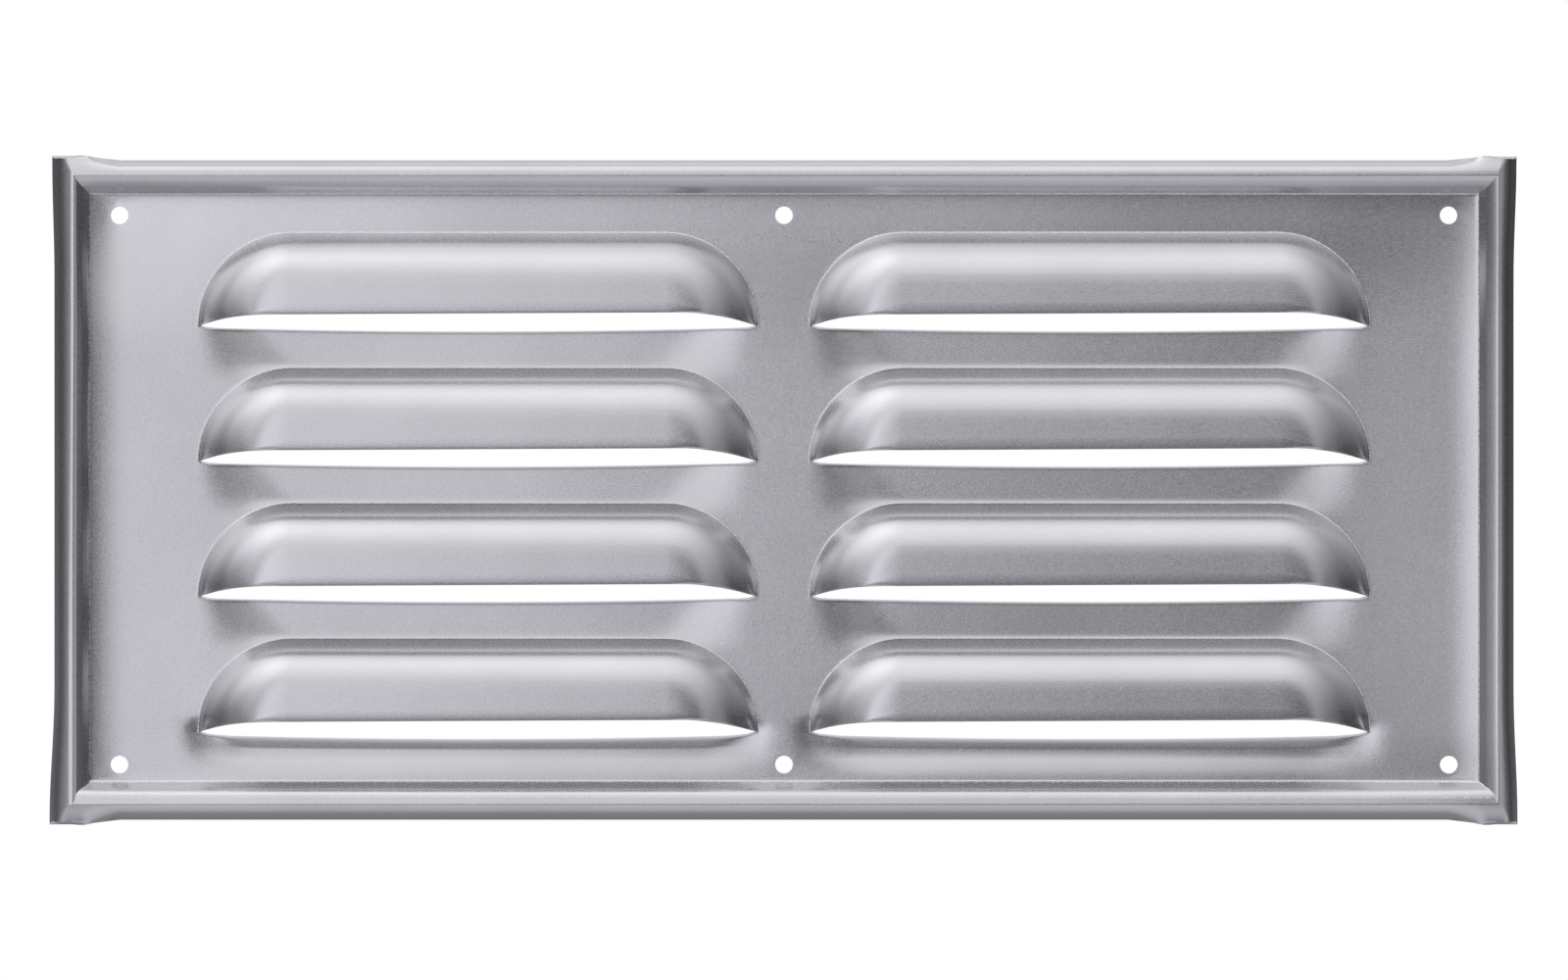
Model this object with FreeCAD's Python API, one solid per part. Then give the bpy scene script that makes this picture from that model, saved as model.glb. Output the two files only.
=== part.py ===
import FreeCAD
import Part
import math
import os

# Louvred vent panel: one sheet of aluminium, pressed and slit, with no joins.
# It stands as it is fixed to a wall. X runs along its width, Z runs up, and the
# front looks along -Y. The wall is the plane y = 0, with the origin at its middle.

# The sheet and its outline, at the middle of each side
sheet_thickness = 0.7
panel_width = 297.8
panel_height = 134.6

# Raised rim: an inner slope off the field, a shoulder, a crest and a skirt down to the wall
inner_slope_width = 1.6
shoulder_width = 2.0
skirt_width = 3.6
rim_height = 5.0
shoulder_below_crest = 0.7
knee_below_crest = 2.3
knee_from_edge = 1.0
shoulder_inside_bend = 0.5
crest_inside_bend = 0.2
knee_inside_bend = 1.3

# Skirt of the rim, which spreads outwards towards each corner
corner_flare = 1.0
flare_run_long_side = 4.0
flare_run_short_side = 12.0
flare_stations = 3

# Louvres: rows and columns, and the flat field left round them
louvre_rows = 4
louvre_columns = 2
louvre_side_margin = 22.35
louvre_top_margin = 7.7
louvre_bottom_margin = 10.7
louvre_row_gap = 8.6
louvre_column_gap = 10.7

# Louvres: lips of the slit, seen from the front
lower_lip_bow = 0.9
hood_lip_rise = 2.5
hood_lip_run = 16.0

# Louvres: section of a hood
hood_depth = 8.0
hood_wall_angle = 60.0
hood_inside_bend = 6.3

# Screw holes, in from the edges of the field
screw_hole_diameter = 3.6
screw_columns = 3
screw_rows = 2
screw_inset_across = 6.2
screw_inset_up = 4.1

# Sizes that follow from the ones above
rim_width = inner_slope_width + shoulder_width + skirt_width
field_half_width = panel_width / 2 - rim_width
field_half_height = panel_height / 2 - rim_width
louvred_width = 2 * (field_half_width - louvre_side_margin)
louvred_height = 2 * field_half_height - louvre_top_margin - louvre_bottom_margin
louvre_length = (louvred_width - (louvre_columns - 1) * louvre_column_gap) / louvre_columns
louvre_height = (louvred_height - (louvre_rows - 1) * louvre_row_gap) / louvre_rows
hood_front = sheet_thickness + hood_depth


# Places on the front, by width, height and distance out from the wall
def at(across, up, out):
    return FreeCAD.Vector(across, -out, up)


def step_between(first, second):
    length = math.dist(first, second)
    return (second[0] - first[0]) / length, (second[1] - first[1]) / length


# The back of a bent sheet, one thickness behind the front, which leaves the flat field
# at a sharp crease. Its first corner is that crease, mitred on the back.
def back_corners(front):
    steps = [(1, 0)] + [step_between(a, b) for a, b in zip(front, front[1:])]
    moved = []
    for index, corner in enumerate(front):
        before = steps[index]
        after = steps[min(index + 1, len(steps) - 1)]
        reach = sheet_thickness / (1 + before[0] * after[0] + before[1] * after[1])
        across = corner[0] + reach * (before[1] + after[1])
        moved.append((across, corner[1] - reach * (before[0] + after[0])))
    return moved


# Straight runs joined by arcs, through corners that each have a bend radius
def bent_path(corners, bends, place):
    edges = []
    start = corners[0]
    for last, corner, following, bend in zip(corners, corners[1:], corners[2:], bends):
        before = step_between(last, corner)
        after = step_between(corner, following)
        turn = math.acos(before[0] * after[0] + before[1] * after[1])
        reach = bend * math.tan(turn / 2)
        arc_start = (corner[0] - before[0] * reach, corner[1] - before[1] * reach)
        arc_end = (corner[0] + after[0] * reach, corner[1] + after[1] * reach)
        inward = step_between(before, after)
        depth = bend * (1 / math.cos(turn / 2) - 1)
        arc_middle = (corner[0] + inward[0] * depth, corner[1] + inward[1] * depth)
        edges.append(Part.makeLine(place(*start), place(*arc_start)))
        arc = Part.Arc(place(*arc_start), place(*arc_middle), place(*arc_end))
        edges.append(arc.toShape())
        start = arc_end
    edges.append(Part.makeLine(place(*start), place(*corners[-1])))
    return edges


# Closed section of a bent sheet that starts at the edge of the flat field
def sheet_section(front, back, inside_bends, place):
    field_back = (front[0][0], 0)
    outside_bends = [bend + sheet_thickness for bend in inside_bends]
    edges = bent_path(front, outside_bends, place)
    edges.append(Part.makeLine(place(*front[-1]), place(*back[-1])))
    edges += bent_path(back[::-1], inside_bends[::-1], place)
    edges.append(Part.makeLine(place(*back[0]), place(*field_back)))
    edges.append(Part.makeLine(place(*field_back), place(*front[0])))
    return Part.Wire(edges)


# Rim section in the plane x = 0, from the field's edge out to the skirt's foot
def rim_section(flare):
    front = [
        (0, sheet_thickness),
        (inner_slope_width, rim_height - shoulder_below_crest),
        (inner_slope_width + shoulder_width, rim_height),
        (rim_width - knee_from_edge + flare / 2, rim_height - knee_below_crest),
        (rim_width + flare, 0),
    ]
    back = back_corners(front)
    foot = step_between(front[-2], front[-1])
    back[-1] = (back[-1][0] - foot[0] * back[-1][1] / foot[1], 0)
    bends = [shoulder_inside_bend, crest_inside_bend, knee_inside_bend]
    return sheet_section(front, back, bends, lambda out, high: at(0, out, high))


# One long or short side of the rim, running along X above the field, mitred at both ends
def rim_side(half_length, half_offset, flare_run):
    straight_end = half_length - flare_run
    straight = Part.Face(rim_section(0))
    straight.translate(FreeCAD.Vector(-straight_end, 0, half_offset))
    pieces = [straight.extrude(FreeCAD.Vector(2 * straight_end, 0, 0))]
    sections = []
    for station in range(flare_stations):
        slant = station / (flare_stations - 1)
        flare = corner_flare * math.sin(slant * math.pi / 2) ** 2
        start = half_length - flare_run * (1 - slant)
        fan = FreeCAD.Matrix(1, 0, slant, start, 0, 1, 0, 0, 0, 0, 1, half_offset, 0, 0, 0, 1)
        sections.append(rim_section(flare).transformGeometry(fan))
    corner = Part.makeLoft(sections, True, False)
    pieces.append(corner)
    pieces.append(corner.mirror(FreeCAD.Vector(), FreeCAD.Vector(1, 0, 0)))
    return pieces


def rim():
    long_side = rim_side(field_half_width, field_half_height, flare_run_long_side)
    short_side = rim_side(field_half_height, field_half_width, flare_run_short_side)
    pieces = []
    for side, turns in ((long_side, (0, 180)), (short_side, (90, 270))):
        for turn in turns:
            for piece in side:
                placed = piece.copy()
                placed.rotate(FreeCAD.Vector(), FreeCAD.Vector(0, 1, 0), turn)
                pieces.append(placed)
    return pieces


# The cut in the flat field under one hood, about the middle of its mouth: a flat-topped
# arch with quarter-circle ends, and a lower lip that bows down
def field_opening():
    half = louvre_length / 2
    middle = half - louvre_height
    diagonal = louvre_height * math.sqrt(0.5)
    left_end = Part.Arc(
        at(-half, 0, 0), at(-middle - diagonal, diagonal, 0), at(-middle, louvre_height, 0)
    )
    top = Part.LineSegment(at(-middle, louvre_height, 0), at(middle, louvre_height, 0))
    right_end = Part.Arc(
        at(middle, louvre_height, 0), at(middle + diagonal, diagonal, 0), at(half, 0, 0)
    )
    lower_lip = Part.Arc(at(half, 0, 0), at(0, -lower_lip_bow, 0), at(-half, 0, 0))
    outline = Part.Wire([curve.toShape() for curve in (left_end, top, right_end, lower_lip)])
    return Part.Face(outline).extrude(at(0, 0, sheet_thickness))


# What is taken off below a hood's lip, which rises from both tips to a straight middle
def lip_trim():
    half = louvre_length / 2
    middle = half - hood_lip_run
    sweep_radius = (hood_lip_run**2 + hood_lip_rise**2) / (2 * hood_lip_rise)
    half_turn = math.asin(hood_lip_run / sweep_radius) / 2
    part_way = middle + sweep_radius * math.sin(half_turn)
    part_rise = hood_lip_rise - sweep_radius * (1 - math.cos(half_turn))
    left_sweep = Part.Arc(
        at(-half, 0, 0), at(-part_way, part_rise, 0), at(-middle, hood_lip_rise, 0)
    )
    lip = Part.LineSegment(at(-middle, hood_lip_rise, 0), at(middle, hood_lip_rise, 0))
    right_sweep = Part.Arc(at(middle, hood_lip_rise, 0), at(part_way, part_rise, 0), at(half, 0, 0))
    mouth = Part.LineSegment(at(half, 0, 0), at(-half, 0, 0))
    outline = Part.Wire([curve.toShape() for curve in (left_sweep, lip, right_sweep, mouth)])
    return Part.Face(outline).extrude(at(0, 0, 2 * hood_front))


# Hood section across its straight part, from its crease with the field down to its mouth
def hood_section(across):
    wall_width = hood_depth / math.tan(math.radians(hood_wall_angle))
    front = [(0, sheet_thickness), (wall_width, hood_front), (louvre_height, hood_front)]
    place = lambda inward, high: at(across, louvre_height - inward, high)
    return Part.Face(sheet_section(front, back_corners(front), [hood_inside_bend], place))


# One hood about the middle of its mouth, turned through a quarter circle at each end
def hood():
    middle = louvre_length / 2 - louvre_height
    left_section = hood_section(-middle)
    straight = left_section.extrude(at(2 * middle, 0, 0))
    left_end = left_section.revolve(at(-middle, 0, 0), at(0, 0, -1), -90)
    right_end = hood_section(middle).revolve(at(middle, 0, 0), at(0, 0, -1), 90)
    whole = straight.fuse([left_end, right_end]).removeSplitter()
    return whole.cut(lip_trim())


def louvre_places():
    for column in range(louvre_columns):
        start = column * (louvre_length + louvre_column_gap)
        across = start + louvre_length / 2 - louvred_width / 2
        for row in range(louvre_rows):
            drop = row * (louvre_height + louvre_row_gap) + louvre_height
            yield at(across, field_half_height - louvre_top_margin - drop, 0)


def screw_holes():
    last_across = field_half_width - screw_inset_across
    last_up = field_half_height - screw_inset_up
    holes = []
    for column in range(screw_columns):
        across = last_across * (2 * column / (screw_columns - 1) - 1)
        for row in range(screw_rows):
            up = last_up * (2 * row / (screw_rows - 1) - 1)
            radius = screw_hole_diameter / 2
            holes.append(Part.makeCylinder(radius, sheet_thickness, at(across, up, 0), at(0, 0, 1)))
    return holes


def field():
    plate = Part.makeBox(
        2 * field_half_width,
        sheet_thickness,
        2 * field_half_height,
        at(-field_half_width, -field_half_height, sheet_thickness),
    )
    openings = [field_opening().translated(place) for place in louvre_places()]
    return plate.cut(openings + screw_holes())


def louvred_panel():
    hoods = [hood().translated(place) for place in louvre_places()]
    return field().fuse(rim() + hoods).removeSplitter()


os.makedirs("parts", exist_ok=True)
panel = louvred_panel()
panel.Solids[0].exportStep("parts/louvred_panel.step")
print("solids", len(panel.Solids), "valid", panel.isValid(), "volume", round(panel.Volume))
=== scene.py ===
import math

import bmesh
import bpy
import numpy as np
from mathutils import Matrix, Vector
from mathutils.geometry import delaunay_2d_cdt


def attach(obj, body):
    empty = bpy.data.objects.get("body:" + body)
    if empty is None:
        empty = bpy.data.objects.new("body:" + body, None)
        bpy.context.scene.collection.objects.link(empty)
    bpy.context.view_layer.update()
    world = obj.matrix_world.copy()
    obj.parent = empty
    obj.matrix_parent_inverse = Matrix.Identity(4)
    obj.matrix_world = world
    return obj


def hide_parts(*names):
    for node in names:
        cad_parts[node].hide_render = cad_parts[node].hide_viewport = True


# Vent panel of mill aluminium: one sheet, pressed into a rim and eight hooded louvres.
# X runs along its width, Z runs up and the front looks along -Y, as in the CAD frame.
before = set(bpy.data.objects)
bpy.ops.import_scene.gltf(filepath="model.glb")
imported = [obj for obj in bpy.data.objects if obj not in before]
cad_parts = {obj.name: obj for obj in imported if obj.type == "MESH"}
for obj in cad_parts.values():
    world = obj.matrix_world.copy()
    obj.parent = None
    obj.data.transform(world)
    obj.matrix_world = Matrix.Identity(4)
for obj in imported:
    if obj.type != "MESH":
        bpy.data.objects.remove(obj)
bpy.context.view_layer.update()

# Sizes in the dictionaries are in millimetres, and a mesh gets them in metres
mm = 0.001

sheet = {
    "thickness": 0.7,
    "sharpAngle": 40,  # an edge that bends by more degrees is shaded sharp
    "mergeWithin": 0.02,
    "riseSteps": 3001,  # how finely a section's tilt is added up
    "levelSteps": 1201,  # how finely it is searched for its lines of vertices
    "noCrease": 9.0,  # stands for a distance where no crease is near
}


# Sections of the sheet

# Adds up a section's tilt in degrees, listed by distance, into its height at other distances
def sectionRise(tilts, distances):
    places, angles = zip(*tilts)
    fine = np.linspace(places[0], places[-1], sheet["riseSteps"])
    slopes = np.tan(np.radians(np.interp(fine, places, angles)))
    steps = (slopes[1:] + slopes[:-1]) / 2 * np.diff(fine)
    return np.interp(distances, fine, np.concatenate([[0], np.cumsum(steps)]))


# Distances at which a section gets its vertices: after so many degrees of bend, or so far
def sectionLevels(tilts, bend, reach):
    places, angles = zip(*tilts)
    levels = [places[0]]
    lastAngle = angles[0]
    for place in np.linspace(places[0], places[-1], sheet["levelSteps"])[1:-1]:
        angle = np.interp(place, places, angles)
        if abs(angle - lastAngle) >= bend or place - levels[-1] >= reach:
            levels.append(float(place))
            lastAngle = angle
    return np.array(levels + [places[-1]])


def smoothStep(value, start, end):
    share = np.clip((value - start) / (end - start), 0, 1)
    return share * share * (3 - 2 * share)


# Meshes

# Faces between the neighbours in a grid of points, numbered from the first one on
def gridFaces(rows, columns, first=0):
    index = first + np.arange(rows * columns).reshape(rows, columns)
    corners = (index[:-1, :-1], index[1:, :-1], index[1:, 1:], index[:-1, 1:])
    return np.stack([c.ravel() for c in corners], axis=1).tolist()


# Makes a mesh from points across, up and out from the wall, with its faces turned to the
# front. Marks are numbers kept for each vertex.
def sheetMesh(name, points, faces, marks):
    turned = []
    for face in faces:
        x, z = points[face, 0], points[face, 1]
        area = np.dot(x, np.roll(z, -1)) - np.dot(z, np.roll(x, -1))
        turned.append(face if area >= 0 else face[::-1])
    places = np.stack([points[:, 0], -points[:, 2], points[:, 1]], axis=1) * mm
    mesh = bpy.data.meshes.new(name)
    mesh.from_pydata(places.tolist(), [], turned)
    for mark, values in marks.items():
        mesh.attributes.new(mark, "FLOAT", "POINT").data.foreach_set("value", values)
    return mesh


def mergeDoubles(mesh, distance):
    work = bmesh.new()
    work.from_mesh(mesh)
    bmesh.ops.remove_doubles(work, verts=work.verts, dist=distance * mm)
    bmesh.ops.dissolve_degenerate(work, edges=work.edges, dist=distance * mm / 10)
    work.to_mesh(mesh)
    work.free()


def meshPlaces(mesh):
    places = np.empty(len(mesh.vertices) * 3)
    mesh.vertices.foreach_get("co", places)
    return places.reshape(-1, 3)


def addObject(name, data):
    made = bpy.data.objects.new(name, data)
    bpy.context.collection.objects.link(made)
    return made


# A plain mesh of an object as its modifiers make it
def plainMesh(holder, name):
    graph = bpy.context.evaluated_depsgraph_get()
    shown = holder.evaluated_get(graph)
    mesh = bpy.data.meshes.new_from_object(shown, preserve_all_data_layers=True, depsgraph=graph)
    mesh.name = name
    return mesh


# Louvre: a hood with quarter-circle ends over a slit, and a collar of flat sheet round it

louvre = {
    "columns": 2,
    "rows": 4,
    "columnPitch": 124.7,
    "rowPitch": 27.6,
    "topRow": 33.4,
    "length": 114.0,
    "height": 19.0,
    "lipRise": 2.47,
    "lipSlant": 0.005,  # the lip climbs by this to the right
    "lipRun": 16.0,
    "lipCurve": (2.6, 1.9),  # at the left and right tips
    "lowerStart": 0.45,  # the lower lip starts that far below the tips and bows on from there
    "lowerStartRun": 1.2,
    "lowerBow": 0.85,
    "lowerDrop": [0.0, 0.0, 0.0, 0.45],  # and lies that much lower in each row
    "lowerDropRun": 8.0,  # in from the tips
    "lowerDropFade": (1.4, 5.5),  # and down from the mouth
    "edgeRoll": 0.35,  # width of the rounded edge along both lips of the slit
    "upperRoll": 0.13,  # the hood's edge turns back by this
    "upperRollRun": 3.0,
    "lowerBurr": 0.07,  # the field's edge stands out by this
    "tipRun": 1.5,  # over which the root's bend dies away along the lower lip
    # tilt of the hood at each distance in from its crease
    "tilts": [(-0.25, 0), (0.12, 62), (1.2, 59), (2.0, 57), (2.6, 53), (3.2, 45), (4.2, 33),
              (5.2, 26), (6.6, 17), (7.3, 13), (7.9, 9), (8.4, 6), (9.0, 3.6), (9.8, 2.4),
              (11.0, 2.1), (16.5, 2.3)],
    "endStretch": 0.85,  # the section is that much wider at both tips
    "stretchRun": (0.0, 2.0),
    "stretchFade": (6.5, 15.0),
    "collar": 2.4,
    "collarLevels": [-1.7, -1.1, -0.65],
    "bendStep": 6.5,  # degrees of bend between two lines of vertices
    "reachStep": 1.8,  # and the farthest that they lie apart
    "creaseGap": 0.02,
    "squeeze": 0.4,  # how soon the lines of vertices draw together before a near lip
    "leastReach": 1e-6,
    "halvings": 40,
    "endStations": 24,
    "endBunching": 1.25,
    "straightStations": 16,
    "slitStations": 34,
    "slitBunching": 0.25,
    "cornerStations": 5,
    "mergeWithin": 0.01,
    "reliefFade": 4.0,
    "variation": 0.06,  # how far one hood may differ from another
    "variationRun": 5.0,
    "variationScale": 70.0,
    "variationSpread": 40.0,
    "seed": 7,
}


def lipHeight(across):
    half = louvre["length"] / 2
    share = np.clip((half - np.abs(across)) / louvre["lipRun"], 0, 1)
    rise = louvre["lipRise"] + louvre["lipSlant"] * across
    return rise * (1 - (1 - share) ** louvre["lipCurve"][int(across > 0)])


# How far a line from the crease runs over the hood before it meets the lip
def hoodReach(start, inward):
    near, far = 0.0, louvre["height"]
    for halving in range(louvre["halvings"]):
        middle = (near + far) / 2
        across, up = start + inward * middle
        if up > lipHeight(across):
            near = middle
        else:
            far = middle
    return near


# Points round the slit and the arch, each with the way in towards the hood
def louvreLoop():
    half = louvre["length"] / 2
    radius = louvre["height"]
    turns = np.linspace(0, 1, louvre["endStations"] + 1) ** louvre["endBunching"] * math.pi / 2
    corner = np.linspace(0, math.pi / 2, louvre["cornerStations"] + 1)[1:]
    ends, tips = [], []
    for side in (-1, 1):
        ways = [np.array([-side * math.cos(turn), -math.sin(turn)]) for turn in turns]
        ends.append([(np.array([side * (half - radius), 0]) - radius * way, way) for way in ways])
        ways = [np.array([-side * math.cos(turn), math.sin(turn)]) for turn in corner]
        tips.append([(np.array([side * half, 0]), way) for way in ways])
    straight = np.linspace(radius - half, half - radius, louvre["straightStations"] + 1)
    top = [(np.array([x, radius]), np.array([0, -1.0])) for x in straight[1:-1]]
    spread = np.linspace(1, -1, louvre["slitStations"] + 1)
    spread = spread + louvre["slitBunching"] * (spread - spread**3)
    slit = []
    for x in half * spread[1:-1]:
        bow = -louvre["lowerBow"] * (1 - (x / half) ** 2)
        bow -= louvre["lowerStart"] * smoothStep(half - abs(x), 0, louvre["lowerStartRun"])
        slit.append((np.array([x, bow]), np.array([0, 1.0])))
    return ends[0] + top + ends[1][::-1], tips[1] + slit + tips[0][::-1]


# The flat sheet's edge that the collar leaves, about the middle of the mouth
def collarEdge():
    arch, below = louvreLoop()
    return np.array([place - way * louvre["collar"] for place, way in arch + below])


# A line of vertices, with their distances in from its place and their crease marks
def sheetLine(place, way, reach, rise, crease):
    spots = place + way * reach[:, None]
    return np.column_stack([spots, sheet["thickness"] + rise]), reach, crease


# From the collar's edge over the hood to its lip
def hoodLine(place, way, outer, inner):
    tilts = louvre["tilts"]
    deep = tilts[-1][0]
    end = hoodReach(place, way)
    share = (inner / deep) ** louvre["squeeze"]
    run = inner * (max(end, louvre["leastReach"]) / deep) ** share
    stretch = smoothStep(run, *louvre["stretchRun"])
    stretch = stretch * (1 - smoothStep(run, *louvre["stretchFade"]))
    wider = 1 + louvre["endStretch"] * way[0] ** 2 * stretch
    roll = np.clip(1 - (end - run) / louvre["edgeRoll"], 0, 1)
    roll = roll * min(1, end / louvre["upperRollRun"])
    rise = sectionRise(tilts, run / wider) - louvre["upperRoll"] * roll**2
    reach = np.concatenate([outer, run])
    return sheetLine(place, way, reach, np.concatenate([sectionRise(tilts, outer), rise]), reach)


# From the collar's edge to the lower lip of the slit
def collarLine(place, way, outer):
    away = smoothStep(louvre["length"] / 2 - abs(place[0]), 0, louvre["tipRun"])
    roll = np.clip(1 + outer / louvre["edgeRoll"], 0, 1)
    rise = sectionRise(louvre["tilts"], outer) * (1 - away) + louvre["lowerBurr"] * roll**2 * away
    crease = outer if away == 0 else np.full(len(outer), -sheet["noCrease"])
    return sheetLine(place, way, outer, rise, crease)


def louvreTile():
    arch, below = louvreLoop()
    levels = sectionLevels(louvre["tilts"], louvre["bendStep"], louvre["reachStep"])
    inner = levels[levels > louvre["creaseGap"]]
    outer = np.concatenate([[-louvre["collar"]], louvre["collarLevels"],
                            levels[levels < -louvre["creaseGap"]], [0]])
    lines = [hoodLine(place, way, outer, inner) for place, way in arch]
    width = len(outer) + len(inner)
    faces = gridFaces(len(arch), width)
    lowerLoop = [arch[-1]] + below + [arch[0]]
    faces += gridFaces(len(lowerLoop), len(outer), len(arch) * width)
    lines += [collarLine(place, way, outer) for place, way in lowerLoop]
    points, reach, crease = [np.concatenate(column) for column in zip(*lines)]
    marks = {
        "reach": reach,
        "creaseDistance": crease,
        "reliefShare": 1 - smoothStep(reach, 0, louvre["reliefFade"]),
    }
    mesh = sheetMesh("louvreTile", points, faces, marks)
    mergeDoubles(mesh, louvre["mergeWithin"])
    return mesh


# Node trees

def newMaterial(name):
    material = bpy.data.materials.new(name)
    material.use_nodes = True
    return material, material.node_tree


# A new node with its inputs set by name or number, from a value or another node's output
def addNode(tree, kind, inputs=None, **settings):
    node = tree.nodes.new(kind)
    for name, value in settings.items():
        setattr(node, name, value)
    for name, value in (inputs or {}).items():
        if isinstance(value, bpy.types.NodeSocket):
            tree.links.new(value, node.inputs[name])
        else:
            node.inputs[name].default_value = value
    return node


def addMath(tree, operation, *values):
    inputs = dict(enumerate(values))
    return addNode(tree, "ShaderNodeMath", inputs, operation=operation).outputs[0]


def addVectorMath(tree, operation, *values, output="Vector"):
    inputs = dict(enumerate(values))
    return addNode(tree, "ShaderNodeVectorMath", inputs, operation=operation).outputs[output]


def addRange(tree, value, low, high, start=0.0, end=1.0, kind="SMOOTHSTEP"):
    inputs = {"Value": value, "From Min": low, "From Max": high, "To Min": start, "To Max": end}
    return addNode(tree, "ShaderNodeMapRange", inputs, interpolation_type=kind).outputs[0]


def addSockets(tree, inputs, outputs):
    for name, kind in inputs:
        tree.interface.new_socket(name, in_out="INPUT", socket_type="NodeSocket" + kind)
    for name, kind in outputs:
        tree.interface.new_socket(name, in_out="OUTPUT", socket_type="NodeSocket" + kind)
    return tree.nodes.new("NodeGroupInput").outputs, tree.nodes.new("NodeGroupOutput").inputs


# Louvre rows: repeats the tile over the field, and lets each hood differ a little

# A point for each hood, in rows from the top left, with a number drawn for each
def hoodSpots(tree, given):
    number = addNode(tree, "GeometryNodeInputIndex").outputs[0]
    column = addMath(tree, "FLOORED_MODULO", number, given["Columns"])
    row = addMath(tree, "FLOOR", addMath(tree, "DIVIDE", number, given["Columns"]))
    last = addMath(tree, "SUBTRACT", given["Columns"], 1.0)
    step = addMath(tree, "SUBTRACT", column, addMath(tree, "MULTIPLY", last, 0.5))
    across = addMath(tree, "MULTIPLY", step, given["Column Pitch"])
    down = addMath(tree, "MULTIPLY", row, given["Row Pitch"])
    up = addMath(tree, "SUBTRACT", given["Top Row"], down)
    place = addNode(tree, "ShaderNodeCombineXYZ", {"X": across, "Z": up}).outputs[0]
    count = addMath(tree, "MULTIPLY", given["Columns"], given["Rows"])
    spots = addNode(tree, "GeometryNodePoints", {"Count": count, "Position": place})
    chance = addNode(tree, "FunctionNodeRandomValue", {"ID": number, "Seed": given["Seed"]},
                     data_type="FLOAT")
    return addNode(tree, "GeometryNodeStoreNamedAttribute", {
        "Geometry": spots.outputs[0], "Name": "hoodChance", "Value": chance.outputs["Value"],
    }, data_type="FLOAT", domain="POINT").outputs[0]


# A small push out or in, which fades towards the crease
def hoodSwing(tree, given):
    kind = "GeometryNodeInputNamedAttribute"
    reach, chance = [addNode(tree, kind, {"Name": name}, data_type="FLOAT").outputs[0]
                     for name in ("reach", "hoodChance")]
    wave = addNode(tree, "ShaderNodeTexNoise", {
        "Vector": addNode(tree, "GeometryNodeInputPosition").outputs[0],
        "W": addMath(tree, "MULTIPLY", chance, louvre["variationSpread"]),
        "Scale": louvre["variationScale"], "Detail": 1.0,
    }, noise_dimensions="4D")
    swing = addMath(tree, "SUBTRACT", wave.outputs[0], 0.5)
    swing = addMath(tree, "MULTIPLY", swing, addRange(tree, reach, 0.0, louvre["variationRun"]))
    swing = addMath(tree, "MULTIPLY", swing, given["Variation"])
    return addNode(tree, "ShaderNodeCombineXYZ", {"Y": swing}).outputs[0]


def louvreRows():
    tree = bpy.data.node_groups.new("louvreRows", "GeometryNodeTree")
    given, made = addSockets(tree, [
        ("Geometry", "Geometry"), ("Columns", "Int"), ("Rows", "Int"), ("Column Pitch", "Float"),
        ("Row Pitch", "Float"), ("Top Row", "Float"), ("Variation", "Float"), ("Seed", "Int"),
        ("Material", "Material"),
    ], [("Geometry", "Geometry")])
    placed = addNode(tree, "GeometryNodeInstanceOnPoints", {
        "Points": hoodSpots(tree, given), "Instance": given["Geometry"],
    })
    whole = addNode(tree, "GeometryNodeRealizeInstances", {"Geometry": placed.outputs[0]})
    moved = addNode(tree, "GeometryNodeSetPosition", {
        "Geometry": whole.outputs[0], "Offset": hoodSwing(tree, given),
    })
    finished = addNode(tree, "GeometryNodeSetMaterial", {
        "Geometry": moved.outputs[0], "Material": given["Material"],
    })
    tree.links.new(finished.outputs[0], made["Geometry"])
    return tree


def makeLouvres(material):
    holder = addObject("louvres", louvreTile())
    modifier = holder.modifiers.new("louvreRows", "NODES")
    modifier.node_group = louvreRows()
    settings = {
        "Columns": louvre["columns"], "Rows": louvre["rows"],
        "Column Pitch": louvre["columnPitch"] * mm, "Row Pitch": louvre["rowPitch"] * mm,
        "Top Row": louvre["topRow"] * mm, "Variation": louvre["variation"] * mm,
        "Seed": louvre["seed"], "Material": material,
    }
    for item in modifier.node_group.interface.items_tree:
        if item.name in settings and item.in_out == "INPUT":
            modifier[item.identifier] = settings[item.name]
    plain = plainMesh(holder, "louvres")
    bpy.data.objects.remove(holder)
    return plain


# Rim: a raised border whose skirt turns back to the wall

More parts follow.
